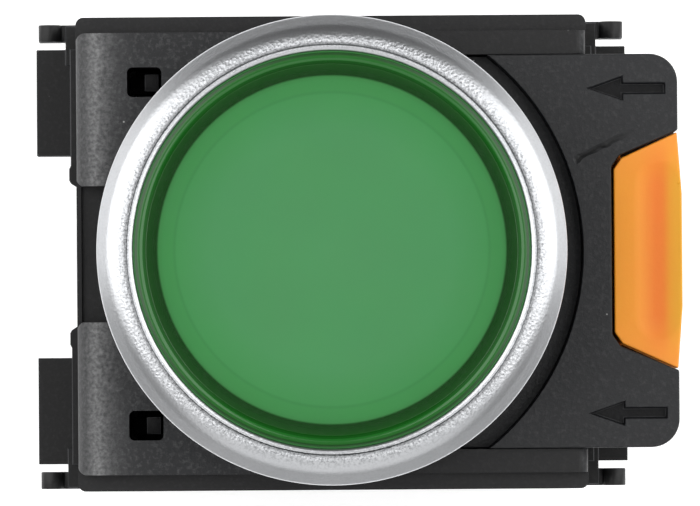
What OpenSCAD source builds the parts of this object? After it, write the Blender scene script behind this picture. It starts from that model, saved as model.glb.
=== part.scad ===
/* [Head] */
// Outer diameter of the metal bezel ring
bezel_d = 29.5; // [29.2:0.1:30]
// Height of the bezel crown in front of the panel
bezel_h = 9.6; // [9.5:0.1:10]
// Diameter of the coloured lens cap
lens_d = 24.9; // [24.6:0.1:25]
// Diameter of the barrel that goes through the 22.3 mm panel hole
barrel_d = 22; // [21.9:0.1:22.1]
// Thickness of the sealing gasket behind the bezel
gasket_t = 1; // [0.8:0.1:1]
// Stroke of the button and of both contact plungers
travel = 3; // [2:0.1:3]

/* [Mounting adapter] */
// Space for the panel between the gasket and the adapter
panel_gap = 3; // [2:0.1:3.5]
// Width of the adapter body, left to right
adapter_w = 32.6; // [32.4:0.1:33]
// Height of the adapter body, one 30 mm mounting pitch
adapter_h = 30.3; // [30.2:0.1:31]
// How far the cover plate reaches to the right of the axis
cover_reach = 22.1; // [21.9:0.1:22.5]
// Radius of the curved inner edge of the raised cover plate
cover_arc_r = 16; // [15.5:0.1:16.2]
// How far the locking slide pulls out to release the head
slide_stroke = 3.5; // [3:0.1:3.6]

/* [Contact blocks] */
// Overall length of a contact block
block_l = 38.2; // [37.8:0.1:39]
// Depth of the blocks behind the adapter
block_depth = 27.7; // [27.5:0.1:30]
// Diameter of a wire entry
wire_d = 3.2; // [2.6:0.1:3.2]
// Diameter of a terminal screw head
screw_head_d = 5; // [4.4:0.1:5.2]

/* [Which piece] */
// Piece to build, or all of them

/* [Hidden] */
$fn = 96;
// cuts run past a face by this much
past = 1;
// gap between a fixed piece and the pocket that it drops into
fit = 0.05;

// head, heights measured from the panel front
bezel_r = bezel_d / 2;
lens_r = lens_d / 2;
bezel_bore_r = lens_r + 0.1;
barrel_r = barrel_d / 2;
barrel_bore_r = 8.8;
flange_top = gasket_t + 1.4;
lens_bottom = flange_top + travel + 0.1;
lens_top = bezel_h - 0.15;
carrier_top = lens_bottom + 1.4;
lens_roof = carrier_top + 0.6;
carrier_r = 8.72;
carrier_bore_r = 6.9;
light_r = 4.2;
seal_bottom = 0.2;
seal_top = 1.4;

// adapter, heights counted back from its front face
front_z = -panel_gap;
ledge_z = front_z - 1.5;
cover_step_z = front_z - 1.9;
cover_seat_z = front_z - 3;
slide_floor_z = front_z - 6.1;
barrel_end_z = front_z - 9;
base_back_wall_z = front_z - 9.3;
base_rear_z = front_z - 11.3;
groove_r = 9.9;
slide_half_y = 11.9;
neck_half_y = 7.5;
slide_top_z = cover_seat_z - fit;
slide_bottom_z = slide_floor_z + fit;
shoulder_x = 15.2 - slide_stroke - 0.1;
cover_half_y = 12.55;
window_x = 11.9;
window_y = 10.95;
long_hook_z = base_rear_z + 9.7;
short_hook_z = base_rear_z + 4.5;
hook_ledge_z = base_rear_z + 3.1;

// contact blocks, drawn on the upper side and mirrored for the lower one
cover_t = 1.7;
deck_z = base_rear_z - cover_t;
rear_z = base_rear_z - block_depth;
half_l = block_l / 2;
body_y0 = 6.55;
body_y1 = 13.45;
block_y = (body_y0 + body_y1) / 2;
block_inner_y = 5;
block_outer_y = 14.9;
case_half_x = 16.6;
cavity_floor_z = rear_z + 4;
foot_z = front_z - 9.9;
head_top_z = foot_z - fit;
strip_t = 0.6;
strip_y0 = block_y - 1.3;
strip_y1 = block_y + 1.3;
tip_r = 1.2;
tip_h = 0.7;
tip_x = 5.4;
make_bridge_z = base_rear_z - 9;
make_fixed_z = make_bridge_z - tip_h - travel - fit;
break_fixed_z = base_rear_z - 9;
break_bridge_z = break_fixed_z - 2 * tip_h - strip_t - 0.02;
plunger_y0 = 7.55;
plunger_y1 = 12.25;
plunger_half_x = 1.9;
make_plunger_end = make_bridge_z - 3.7;
break_plunger_end = break_bridge_z - 5.2;

// terminals, with the cage centred on cage_x
cage_x = 12.6;
lamp_cage_x = 12.2;
cage_l = 4.8;
cage_half_y = 2.6;
cage_wall = 0.7;
cage_bottom_z = rear_z + 3.4;
cage_top_z = rear_z + 10;
wire_z = rear_z + 6.6;
wire_r = wire_d / 2;
screw_head_r = screw_head_d / 2;
screw_bore_r = screw_head_r + 0.25;
screw_r = 1.45;
strip_foot_z = cage_top_z - cage_wall - fit;
tongue_x = 9;
chamber_half_l = 2.7;
chamber_half_y = 2.9;
funnel_h = 0.3;
lamp_half_x = 16.2;
lamp_half_y = 4.7;
board_z = base_rear_z - 5.7;

// a block between two opposite corners
module slab(low, high) {
    translate(low)
        cube(high - low);
}

// a flat ring around the push axis
module ring(outer_r, inner_r, bottom, top) {
    translate([0, 0, bottom])
        difference() {
            cylinder(r = outer_r, h = top - bottom);
            translate([0, 0, -past])
                cylinder(r = inner_r, h = top - bottom + 2 * past);
        }
}

// a rectangle with round corners, centred
module rounded_outline(size, corner_r) {
    square([size.x - 2 * corner_r, size.y], center = true);
    square([size.x, size.y - 2 * corner_r], center = true);
    for (sx = [-1, 1], sy = [-1, 1])
        translate([sx * (size.x / 2 - corner_r), sy * (size.y / 2 - corner_r)])
            circle(r = corner_r);
}

// height of a coil's centre line: closed turns at both ends, open turns between
function coil_height(turn, turns, low, high, close) =
    turn < 1 ? low + close * turn
    : turn > turns - 1 ? high - close * (turns - turn)
    : low + close + (turn - 1) / (turns - 2) * (high - low - 2 * close);

// a round-wire compression spring that stands on z = bottom
module coil_spring(mean_r, wire, bottom, top, turns) {
    per_turn = 18;
    sides = 8;
    steps = turns * per_turn;
    corners = [
        for (i = [0:steps], j = [0:sides - 1])
            let (
                around = 360 * i / per_turn,
                section = 360 * j / sides,
                rise = coil_height(i / per_turn, turns, bottom + wire, top - wire, 2.2 * wire),
                reach = mean_r + wire * cos(section)
            )
            [reach * cos(around), reach * sin(around), rise + wire * sin(section)]
    ];
    skin = [
        for (i = [0:steps - 1], j = [0:sides - 1])
            let (k = (j + 1) % sides, a = i * sides, b = a + sides)
            [a + j, b + j, b + k, a + k]
    ];
    first_end = [for (j = [0:sides - 1]) j];
    last_end = [for (j = [0:sides - 1]) steps * sides + sides - 1 - j];
    polyhedron(points = corners, faces = concat(skin, [first_end, last_end]));
}

// satin metal trim ring: round crown that steps down to a thin inner lip
module bezel_ring() {
    crown_r = 1.7;
    crown_x = bezel_r - crown_r;
    lip_w = 0.38;
    lip_z = bezel_h - 0.4;
    foot_chamfer = 0.3;
    color("silver")
        rotate_extrude() {
            difference() {
                translate([crown_x, bezel_h - crown_r])
                    circle(r = crown_r);
                translate([0, gasket_t])
                    square([bezel_bore_r + lip_w, bezel_h]);
            }
            polygon([
                [bezel_bore_r, gasket_t],
                [bezel_r - foot_chamfer, gasket_t],
                [bezel_r, gasket_t + foot_chamfer],
                [bezel_r, bezel_h - crown_r],
                [crown_x, bezel_h],
                [bezel_bore_r + lip_w, lip_z],
                [bezel_bore_r + 0.1, lip_z],
                [bezel_bore_r, lip_z - 0.1]
            ]);
        }
}

// flat rubber ring that seals the panel hole, notched for the barrel key
module panel_gasket() {
    outer_r = 14.3;
    inner_r = 11.3;
    bead_cut = 0.25;
    color([0.09, 0.09, 0.09])
        difference() {
            rotate_extrude()
                polygon([
                    [inner_r, 0],
                    [outer_r, 0],
                    [outer_r, 0.3],
                    [outer_r - bead_cut, gasket_t / 2],
                    [outer_r, gasket_t - 0.3],
                    [outer_r, gasket_t],
                    [inner_r, gasket_t]
                ]);
            slab([-1.6, inner_r - past, -past], [1.6, 12.3, gasket_t + past]);
        }
}

// plastic barrel: collar under the bezel, locking groove, key, spring seat on two spokes
module head_barrel() {
    collar_r = bezel_bore_r - fit;
    seat_r = 6.4;
    seat_low = barrel_end_z + 0.5;
    seat_high = barrel_end_z + 1.5;
    spoke_half_w = 1.6;
    color([0.13, 0.13, 0.14]) {
        difference() {
            union() {
                cylinder(r = collar_r, h = flange_top);
                translate([0, 0, barrel_end_z])
                    cylinder(r = barrel_r, h = flange_top - barrel_end_z);
                slab([-1.4, barrel_bore_r + past, -1.8], [1.4, 12.1, gasket_t + fit]);
            }
            // the collar starts in front of the gasket
            difference() {
                ring(collar_r + past, barrel_r, -past, gasket_t);
                slab([-1.4, 0, -2 * past], [1.4, 12.1, gasket_t + past]);
            }
            translate([0, 0, barrel_end_z - past])
                cylinder(r = barrel_bore_r, h = flange_top - barrel_end_z + 2 * past);
            ring(barrel_r + past, groove_r, slide_bottom_z - 0.15, slide_top_z + 0.15);
        }
        difference() {
            union() {
                translate([0, 0, seat_low])
                    cylinder(r = seat_r, h = seat_high - seat_low);
                for (side = [-1, 1])
                    slab(
                        [side * 7.6 - 1.6, -spoke_half_w, seat_low],
                        [side * 7.6 + 1.6, spoke_half_w, seat_high]
                    );
            }
            translate([0, 0, seat_low - past])
                cylinder(r = light_r, h = seat_high - seat_low + 2 * past);
        }
    }
}

// translucent green cap: round rim around the flat sunk face
module lens_cap() {
    skin_r = lens_r - 1.1;
    rim_r = lens_r - 0.42;
    face_r = lens_r - 0.8;
    face_z = lens_top - 0.55;
    color([0.2, 0.55, 0.25])
        rotate_extrude()
            polygon([
                [0, lens_roof],
                [skin_r, lens_roof],
                [skin_r, lens_bottom],
                [lens_r, lens_bottom],
                [lens_r, lens_top - 0.3],
                [lens_r - 0.25, lens_top],
                [rim_r, lens_top],
                [rim_r - 0.2, lens_top - 0.08],
                [face_r, face_z + 0.15],
                [face_r - 0.15, face_z],
                [0, face_z]
            ]);
}

// white disc that spreads the lamp's light behind the lens, with a raised middle
module diffuser() {
    rim_r = 11;
    middle_r = 9.85;
    rim_h = 0.35;
    color([0.92, 0.93, 0.9]) {
        translate([0, 0, carrier_top])
            cylinder(r = rim_r, h = rim_h);
        translate([0, 0, carrier_top])
            cylinder(r = middle_r, h = lens_roof - carrier_top - fit);
    }
}

// sliding sleeve that carries the lens, with two feet that push the contact plungers
module lens_carrier() {
    tube_end = barrel_end_z + 4.8;
    foot_half_x = 2;
    leg_y0 = 7;
    leg_y1 = 8.45;
    foot_y1 = 9.4;
    color([0.16, 0.16, 0.17]) {
        difference() {
            union() {
                translate([0, 0, lens_bottom])
                    cylinder(r = lens_r - 1.2, h = carrier_top - lens_bottom);
                translate([0, 0, tube_end])
                    cylinder(r = carrier_r, h = carrier_top - tube_end);
                for (side = [0, 1])
                    mirror([0, side, 0]) {
                        slab([-foot_half_x, leg_y0, foot_z], [foot_half_x, leg_y1, tube_end + past]);
                        slab([-foot_half_x, leg_y0, foot_z], [foot_half_x, foot_y1, barrel_end_z - fit]);
                    }
            }
            translate([0, 0, tube_end - past])
                cylinder(r = carrier_bore_r, h = past + spring_ledge_z() - tube_end);
            translate([0, 0, tube_end - past])
                cylinder(r = light_r, h = carrier_top - tube_end + 2 * past);
            translate([0, 0, spring_ledge_z() + 1])
                cylinder(r = carrier_bore_r, h = carrier_top);
            ring(carrier_r + past, carrier_r - 0.72, seal_bottom - 0.1, seal_top + 0.1);
        }
    }
}

// underside of the carrier's inner ledge, where the return spring pushes
function spring_ledge_z() = barrel_end_z + 11;

// rubber ring in the carrier's groove that wipes the barrel bore
module wiper_seal() {
    lip = 0.3;
    inner_r = carrier_r - 0.7;
    outer_r = barrel_bore_r - fit;
    color([0.08, 0.08, 0.08])
        rotate_extrude()
            polygon([
                [inner_r, seal_bottom],
                [outer_r - lip, seal_bottom],
                [outer_r, seal_bottom + lip],
                [outer_r - 0.2, (seal_bottom + seal_top) / 2],
                [outer_r, seal_top - lip],
                [outer_r - lip, seal_top],
                [inner_r, seal_top]
            ]);
}

// steel spring between the barrel's seat and the lens carrier
module return_spring() {
    color([0.7, 0.7, 0.72])
        coil_spring(5.4, 0.35, barrel_end_z + 1.5, spring_ledge_z(), 6);
}

// black adapter body: stepped front, bore, slide channel, hook windows and side pockets
module adapter_base() {
    bore_r = barrel_r + 0.15;
    well_r = 9.8;
    pad_x0 = -adapter_w / 2;
    pad_x1 = -2.2;
    pad_y0 = 4.3;
    pad_y1 = 14.1;
    pad_corner = 0.6;
    shelf_z = front_z - 0.5;
    middle_z = front_z - 1.9;
    wall_t = 0.3;
    tray_x = cover_reach - 0.05;
    shelf_x = adapter_w / 2 - fit;
    shelf_roll_r = 0.6;
    tray_half_y = 9;
    color([0.12, 0.12, 0.13])
        difference() {
            union() {
                translate([0, 0, base_rear_z])
                    linear_extrude(ledge_z - base_rear_z)
                        rounded_outline([adapter_w, adapter_h], 0.5);
                for (side = [-1, 1])
                    intersection() {
                        translate([(pad_x0 + pad_x1) / 2, side * (pad_y0 + pad_y1) / 2, ledge_z - past])
                            linear_extrude(front_z - ledge_z + past)
                                rounded_outline([pad_x1 - pad_x0, pad_y1 - pad_y0], pad_corner);
                        pad_section(pad_x0, pad_x1);
                    }
                // shelf beside the cover plate
                slab([pad_x1 - past, -pad_y1, ledge_z - past], [shelf_x - shelf_roll_r, pad_y1, shelf_z]);
                translate([shelf_x - shelf_roll_r, pad_y1, shelf_z - shelf_roll_r])
                    rotate([90, 0, 0])
                        cylinder(r = shelf_roll_r, h = 2 * pad_y1);
                slab([shelf_x - past, -pad_y1, ledge_z - past], [shelf_x, pad_y1, shelf_z - shelf_roll_r]);
                slab([12, -tray_half_y, slide_floor_z - 2.4], [tray_x, tray_half_y, slide_floor_z]);
            }
            translate([0, 0, base_back_wall_z])
                cylinder(r = bore_r, h = 20);
            translate([0, 0, base_rear_z - past])
                cylinder(r = well_r, h = 20);
            // channel of the locking slide, with a narrower mouth that stops it
            slab([0, -slide_half_y - 0.1, slide_floor_z], [15.2, slide_half_y + 0.1, past]);
            slab([15, -neck_half_y - 0.1, slide_floor_z], [cover_reach + past, neck_half_y + 0.1, past]);
            // recess that the cover plate drops into
            slab([-1, -cover_half_y - fit, cover_seat_z], [cover_reach + past, cover_half_y + fit, past]);
            // sunk field between the two pads, behind a thin outer wall
            slab([wall_t - adapter_w / 2, -pad_y0 - fit, middle_z], [-8, pad_y0 + fit, past]);
            slab([-adapter_w, -pad_y0 - fit, ledge_z], [-8, pad_y0 + fit, past]);
            hook_windows();
            side_pockets();
        }
}

// lengthwise section of a pad: its outer end rolls down in a soft curve
module pad_section(x0, x1) {
    roll_r = 1.6;
    half_y = 20;
    translate([0, half_y, 0])
        rotate([90, 0, 0])
            linear_extrude(2 * half_y) {
                translate([x0 + roll_r, ledge_z - past])
                    square([x1 - x0 - roll_r, front_z - ledge_z + past]);
                translate([x0, ledge_z - past])
                    square([x1 - x0, past + front_z - ledge_z - roll_r + 0.25]);
                translate([x0 + roll_r, front_z - roll_r])
                    circle(r = roll_r);
            }
}

// square wells that the blocks' hooks snap into, with a catching ledge low down
module hook_windows() {
    size_x = 2.2;
    size_y = 1.9;
    corner_r = 0.35;
    for (sx = [0, 1], sy = [0, 1])
        mirror([sx, 0, 0])
            mirror([0, sy, 0]) {
                translate([window_x, window_y, hook_ledge_z])
                    linear_extrude(past - hook_ledge_z)
                        rounded_outline([size_x, size_y], corner_r);
                slab(
                    [window_x - size_x / 2 + 0.1, window_y - size_y / 2, base_rear_z - past],
                    [window_x + size_x / 2 - 0.4, window_y + size_y / 2, hook_ledge_z + past]
                );
            }
}

// shallow pockets along both long sides and across the left end, open to the rear
module side_pockets() {
    depth = 0.6;
    half_w = 1.5;
    top_z = base_rear_z + 6.5;
    for (x = [-10.5, -3.5, 3.5, 10.5], side = [-1, 1])
        slab(
            [x - half_w, side * adapter_h / 2 - depth, base_rear_z - past],
            [x + half_w, side * adapter_h / 2 + depth, top_z]
        );
    slab(
        [-adapter_w / 2 - depth, -3, base_rear_z - past],
        [-adapter_w / 2 + depth, 3, top_z]
    );
}

// outline of the cover plate before its step, notch and bore
module cover_outline() {
    corner_r = 1.8;
    left_x = -0.9;
    mid_x = 10;
    translate([left_x, -cover_half_y])
        square([mid_x - left_x, 2 * cover_half_y]);
    translate([(cover_reach + left_x) / 2 + 2, 0])
        rounded_outline([cover_reach - left_x - 4, 2 * cover_half_y], corner_r);
}

// tapered outline shared by the plate's notch and the orange grip
module grip_outline(gap) {
    notch_x = 18;
    inner_half = 5.7;
    outer_half = 7.55;
    bow_half = 3.6;
    corner_r = 0.5;
    end_x = cover_reach - fit + gap;
    bow = 0.3;
    polygon([
        [notch_x - gap + corner_r, inner_half + gap + 0.22],
        [notch_x - gap, inner_half + gap - corner_r],
        [notch_x - gap, corner_r - gap - inner_half],
        [notch_x - gap + corner_r, -inner_half - gap - 0.22],
        [end_x, -outer_half - gap],
        [end_x + bow, -bow_half],
        [end_x + bow, bow_half],
        [end_x, outer_half + gap]
    ]);
}

// arrow that points at the locked position
module arrow_outline() {
    tip = 16.4;
    neck = 18.6;
    tail = 21.3;
    head_half = 0.77;
    shaft_half = 0.33;
    polygon([
        [tip, 0],
        [neck, head_half],
        [neck, shaft_half],
        [tail, shaft_half],
        [tail, -shaft_half],
        [neck, -shaft_half],
        [neck, -head_half]
    ]);
}

// black plate over the slide: low inner collar, raised outer field with two cut arrows
module cover_plate() {
    arrow_y = 10.35;
    arrow_depth = 0.6;
    color([0.16, 0.16, 0.17])
        difference() {
            translate([0, 0, cover_seat_z])
                linear_extrude(front_z - cover_seat_z)
                    cover_outline();
            translate([0, 0, cover_seat_z - past])
                cylinder(r = barrel_r + 0.3, h = 20);
            translate([0, 0, cover_step_z])
                cylinder(r = cover_arc_r, h = 20);
            translate([0, 0, cover_seat_z - past])
                linear_extrude(20)
                    grip_outline(0.15);
            for (side = [-1, 1])
                translate([0, side * arrow_y, front_z - arrow_depth])
                    linear_extrude(past)
                        arrow_outline();
        }
}

// orange slide: fork that grips the barrel groove, neck, and thumb grip in the notch
module locking_slide() {
    fork_tip_x = 1.5;
    fork_r = groove_r + 0.2;
    grip_top_z = front_z - 0.25;
    thumb_x = 20.9;
    thumb_r = 5;
    thumb_depth = 0.3;
    thumb_half_y = 4.2;
    color([0.95, 0.5, 0.12])
        difference() {
            union() {
                slab(
                    [fork_tip_x, -slide_half_y, slide_bottom_z],
                    [shoulder_x, slide_half_y, slide_top_z]
                );
                slab([shoulder_x - past, -neck_half_y, slide_bottom_z], [18.5, neck_half_y, slide_top_z]);
                translate([0, 0, slide_bottom_z])
                    linear_extrude(grip_top_z - slide_bottom_z)
                        grip_outline(0);
            }
            translate([0, 0, slide_bottom_z - past])
                cylinder(r = fork_r, h = 5);
            // shallow thumb valley with round ends
            translate([thumb_x, thumb_half_y, grip_top_z + thumb_r - thumb_depth])
                rotate([90, 0, 0])
                    cylinder(r = thumb_r, h = 2 * thumb_half_y);
            for (side = [-1, 1])
                translate([thumb_x, side * thumb_half_y, grip_top_z + thumb_r - thumb_depth])
                    sphere(r = thumb_r);
        }
}

// moulded case of a contact block on the upper side
module block_housing() {
    cavity_half_x = 8.8;
    cavity_y0 = 7.4;
    cavity_y1 = 12.4;
    chamber_x0 = cage_x - chamber_half_l;
    chamber_x1 = cage_x + chamber_half_l - 0.1;
    difference() {
        slab([-case_half_x, block_inner_y, rear_z], [case_half_x, block_outer_y, deck_z]);
        slab([-cavity_half_x, cavity_y0, cavity_floor_z], [cavity_half_x, cavity_y1, deck_z + past]);
        for (side = [0, 1])
            mirror([side, 0, 0]) {
                slab(
                    [chamber_x0, block_y - chamber_half_y, rear_z + 3],
                    [chamber_x1, block_y + chamber_half_y, cage_top_z + 0.4]
                );
                slab(
                    [cavity_half_x - past, strip_y0 - 0.2, strip_foot_z - strip_t - 0.2],
                    [chamber_x0 + past, strip_y1 + 0.2, base_rear_z - 8]
                );
                translate([cage_x, block_y, rear_z - past])
                    cylinder(r = screw_bore_r, h = 3 + 2 * past);
                translate([chamber_x1 - past, block_y, wire_z])
                    rotate([0, 90, 0])
                        cylinder(r = wire_r, h = past + case_half_x - chamber_x1);
                translate([case_half_x - funnel_h, block_y, wire_z])
                    rotate([0, 90, 0])
                        cylinder(r1 = wire_r, r2 = wire_r + 0.6, h = funnel_h);
                // recess for the lid's tongue, probe slot and stepped rear corner
                slab(
                    [tongue_x - 1.3, block_outer_y - 0.6, deck_z - 3.3],
                    [tongue_x + 1.3, block_outer_y + past, deck_z + past]
                );
                slab(
                    [cage_x - 1.2, block_inner_y + 0.5, rear_z - past],
                    [cage_x + 1.2, block_inner_y + 1.3, rear_z + 2]
                );
                slab([case_half_x - 0.8, 0, rear_z - past], [case_half_x + past, 20, rear_z + 1.2]);
            }
        // blank panel for a marking plate, and grip ribs towards the rear
        slab([-5, block_outer_y - 0.35, rear_z + 10], [5, block_outer_y + past, rear_z + 18]);
        for (k = [0:4])
            slab(
                [-6, block_outer_y - 0.35, rear_z + 2 + 1.2 * k],
                [6, block_outer_y + past, rear_z + 2.6 + 1.2 * k]
            );
    }
}

// lid of a contact block: plunger guide, thin end wings, release fingers, tongues and hooks
module block_cover() {
    wing_z = base_rear_z - 2.6;
    wing_top_z = base_rear_z - 0.4;
    finger_y0 = 13.95;
    finger_y1 = 15.05;
    finger_half_x = 18.95;
    nose_r = 0.75;
    web_half_x = 17.2;
    rib_x = 16.34;
    rib_w = 0.55;
    rib_h = 0.5;
    nub_x = 17;
    nub_y = 4.4;
    difference() {
        union() {
            slab([-case_half_x, block_inner_y, deck_z], [case_half_x, body_y1, base_rear_z]);
            slab([-web_half_x, body_y1 - past, deck_z], [web_half_x, finger_y0 + past, base_rear_z]);
            for (side = [0, 1])
                mirror([side, 0, 0]) {
                    // wing, its raised rib, and the blunt nub at the rib's inner end
                    slab([case_half_x + fit, body_y0, wing_z], [half_l, body_y1, wing_top_z]);
                    slab([case_half_x - past, body_y0, deck_z], [case_half_x + past, body_y1, wing_top_z]);
                    slab([rib_x, block_inner_y, deck_z], [rib_x + rib_w, body_y1, base_rear_z + rib_h]);
                    translate([0, 0, deck_z])
                        linear_extrude(base_rear_z + rib_h - deck_z)
                            polygon([
                                [rib_x, nub_y],
                                [rib_x + rib_w, nub_y + 0.35],
                                [nub_x, nub_y + 0.55],
                                [nub_x, nub_y + 1.3],
                                [rib_x + rib_w, nub_y + 1.5],
                                [rib_x, nub_y + 1.5]
                            ]);
                    // finger with a round nose across its end, joined to the lid only near the middle
                    slab([0, finger_y0, wing_z], [finger_half_x, finger_y1, base_rear_z - 0.3]);
                    slab([0, finger_y0, wing_z], [case_half_x, finger_y1, base_rear_z]);
                    translate([finger_half_x - nose_r, finger_y1, base_rear_z - 0.3])
                        rotate([90, 0, 0])
                            cylinder(r = nose_r, h = finger_y1 - finger_y0);
                }
            snap_hook(long_hook_z, 1);
            snap_hook(short_hook_z, 0);
        }
        slab(
            [-plunger_half_x - 0.3, 6.8, deck_z - past],
            [plunger_half_x + 0.3, 9.6, base_rear_z + past]
        );
        // the case fills this space below the lid
        slab([-case_half_x - fit, body_y0, wing_z - past], [case_half_x + fit, 20, deck_z]);
    }
    // tongues that hang from the fingers into the case's side recesses
    for (side = [-1, 1])
        slab(
            [side * tongue_x - 1.2, block_outer_y - 0.5, deck_z - 3.2],
            [side * tongue_x + 1.2, block_outer_y, base_rear_z - fit]
        );
}

// hook that rises from a lid into an adapter window and catches its ledge
module snap_hook(top, flip) {
    half_y = 0.55;
    mirror([flip, 0, 0]) {
        slab([window_x - 0.9, window_y - half_y, deck_z], [window_x, window_y + half_y, top]);
        slab(
            [window_x - past, window_y - half_y, deck_z],
            [window_x + 0.6, window_y + half_y, hook_ledge_z + 1.4]
        );
        slab(
            [window_x, window_y - half_y, hook_ledge_z + fit],
            [window_x + 0.95, window_y + half_y, hook_ledge_z + 1.4]
        );
    }
}

// stepped plunger with a window that holds the bridge and its spring
module contact_plunger(end_z, window_low, window_high) {
    difference() {
        union() {
            slab(
                [-plunger_half_x, plunger_y0, deck_z - past],
                [plunger_half_x, foot_reach_y(), head_top_z]
            );
            slab([-plunger_half_x, plunger_y0, end_z], [plunger_half_x, plunger_y1, deck_z - 0.2]);
        }
        slab([-3, strip_y0 - 0.3, window_low], [3, strip_y1 + 0.3, window_high]);
    }
}

// how far out the plunger's head reaches, under the carrier's foot
function foot_reach_y() = 9.4;

// copper strip that joins the two contact points
module contact_bridge(low) {
    slab([-6.9, strip_y0, low], [6.9, strip_y1, low + strip_t]);
}

// a pair of silver contact points
module tip_pair(low) {
    for (side = [-1, 1])
        translate([side * tip_x, block_y, low])
            cylinder(r = tip_r, h = tip_h);
}

// two bent brass strips from the contact points to the terminal cages
module terminal_strips(low) {
    bend_x = 9.6;
    foot_low = strip_foot_z - strip_t;
    for (side = [0, 1])
        mirror([side, 0, 0]) {
            slab([4, strip_y0, low], [bend_x, strip_y1, low + strip_t]);
            slab([bend_x - strip_t, strip_y0, foot_low], [bend_x, strip_y1, low + strip_t]);
            slab([bend_x - strip_t, strip_y0, foot_low], [cage_x + 2.2, strip_y1, strip_foot_z]);
        }
}

// small spring on a block's centre line
module block_spring(mean_r, wire, bottom, top, turns) {
    translate([0, block_y, 0])
        coil_spring(mean_r, wire, bottom, top, turns);
}

module make_housing() {
    color([0.14, 0.14, 0.15])
        block_housing();
}

module make_cover() {
    color([0.17, 0.17, 0.18])
        block_cover();
}

module make_plunger() {
    color([0.1, 0.5, 0.25])
        contact_plunger(make_plunger_end, make_bridge_z - fit, make_bridge_z + 4.8);
}

module make_bridge() {
    color([0.72, 0.45, 0.25])
        contact_bridge(make_bridge_z);
}

module make_moving_tips() {
    color([0.85, 0.85, 0.86])
        tip_pair(make_bridge_z - tip_h);
}

module make_contact_spring() {
    color([0.7, 0.7, 0.72])
        block_spring(1.1, 0.2, make_bridge_z + strip_t, make_bridge_z + 4.8, 5);
}

module make_return_spring() {
    color([0.7, 0.7, 0.72])
        block_spring(1.55, 0.25, cavity_floor_z, make_plunger_end, 7);
}

module make_terminals() {
    color([0.78, 0.62, 0.3])
        terminal_strips(make_fixed_z - tip_h - strip_t);
}

module break_housing() {
    color([0.14, 0.14, 0.15])
        mirror([0, 1, 0])
            block_housing();
}

module break_cover() {
    color([0.17, 0.17, 0.18])
        mirror([0, 1, 0])
            block_cover();
}

module break_plunger() {
    color([0.65, 0.12, 0.1])
        mirror([0, 1, 0])
            contact_plunger(break_plunger_end, break_bridge_z - 3.7, break_bridge_z + strip_t + 0.3);
}

module break_bridge() {
    color([0.72, 0.45, 0.25])
        mirror([0, 1, 0])
            contact_bridge(break_bridge_z);
}

module break_moving_tips() {
    color([0.85, 0.85, 0.86])
        mirror([0, 1, 0])
            tip_pair(break_bridge_z + strip_t);
}

module break_contact_spring() {
    color([0.7, 0.7, 0.72])
        mirror([0, 1, 0])
            block_spring(1.1, 0.2, break_bridge_z - 3.7, break_bridge_z, 5);
}

module break_return_spring() {
    color([0.7, 0.7, 0.72])
        mirror([0, 1, 0])
            block_spring(1.55, 0.25, cavity_floor_z, break_plunger_end, 5);
}

module break_terminals() {
    color([0.78, 0.62, 0.3])
        mirror([0, 1, 0])
            terminal_strips(break_fixed_z);
}

// silver points on the four terminal strips
module fixed_tips() {
    color([0.85, 0.85, 0.86]) {
        tip_pair(make_fixed_z - tip_h);
        mirror([0, 1, 0])
            tip_pair(break_fixed_z - tip_h);
    }
}

// case of the lamp block in the middle place
module lamp_housing() {
    cavity_half_x = 8;
    cavity_half_y = 3.7;
    chamber_x0 = lamp_cage_x - chamber_half_l;
    chamber_x1 = lamp_cage_x + chamber_half_l - 0.1;
    color([0.14, 0.14, 0.15])
        difference() {
            slab([-lamp_half_x, -lamp_half_y, rear_z], [lamp_half_x, lamp_half_y, deck_z]);
            slab(
                [-cavity_half_x, -cavity_half_y, rear_z + 8],
                [cavity_half_x, cavity_half_y, deck_z + past]
            );
            for (side = [0, 1])
                mirror([side, 0, 0]) {
                    slab(
                        [chamber_x0, -chamber_half_y, rear_z + 3],
                        [chamber_x1, chamber_half_y, cage_top_z + 0.4]
                    );
                    slab(
                        [cavity_half_x - past, -1.5, strip_foot_z - strip_t - 0.2],
                        [chamber_x0 + past, 1.5, strip_foot_z + 0.2]
                    );
                    translate([lamp_cage_x, 0, rear_z - past])
                        cylinder(r = screw_bore_r, h = 3 + 2 * past);
                    translate([chamber_x1 - past, 0, wire_z])
                        rotate([0, 90, 0])
                            cylinder(r = wire_r, h = past + lamp_half_x - chamber_x1);
                    translate([lamp_half_x - funnel_h, 0, wire_z])
                        rotate([0, 90, 0])
                            cylinder(r1 = wire_r, r2 = wire_r + 0.6, h = funnel_h);
                    slab([lamp_half_x - 0.8, -20, rear_z - past], [lamp_half_x + past, 20, rear_z + 1.2]);
                }
        }
}

// lid of the lamp block with the tower that holds the lamp
module lamp_cover() {
    tower_r = 3.6;
    color([0.17, 0.17, 0.18])
        difference() {
            union() {
                slab([-lamp_half_x, -lamp_half_y, deck_z], [lamp_half_x, lamp_half_y, base_rear_z]);
                translate([0, 0, deck_z])
                    cylinder(r = tower_r, h = lamp_seat_z() + 1.8 - deck_z);
            }
            translate([0, 0, deck_z - past])
                cylinder(r = 2.85, h = 12);
        }
}

// bottom of the lamp's flange
function lamp_seat_z() = base_rear_z + 4;

// circuit board under the lamp
module lamp_board() {
    color([0.1, 0.35, 0.2])
        slab([-7.6, -3.5, board_z - 1.2], [7.6, 3.5, board_z]);
}

// series resistor on the board
module lamp_resistor() {
    color([0.8, 0.7, 0.5])
        translate([-2.4, 2.3, board_z + 0.95])
            rotate([0, 90, 0])
                cylinder(r = 0.9, h = 4.8);
}

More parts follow.
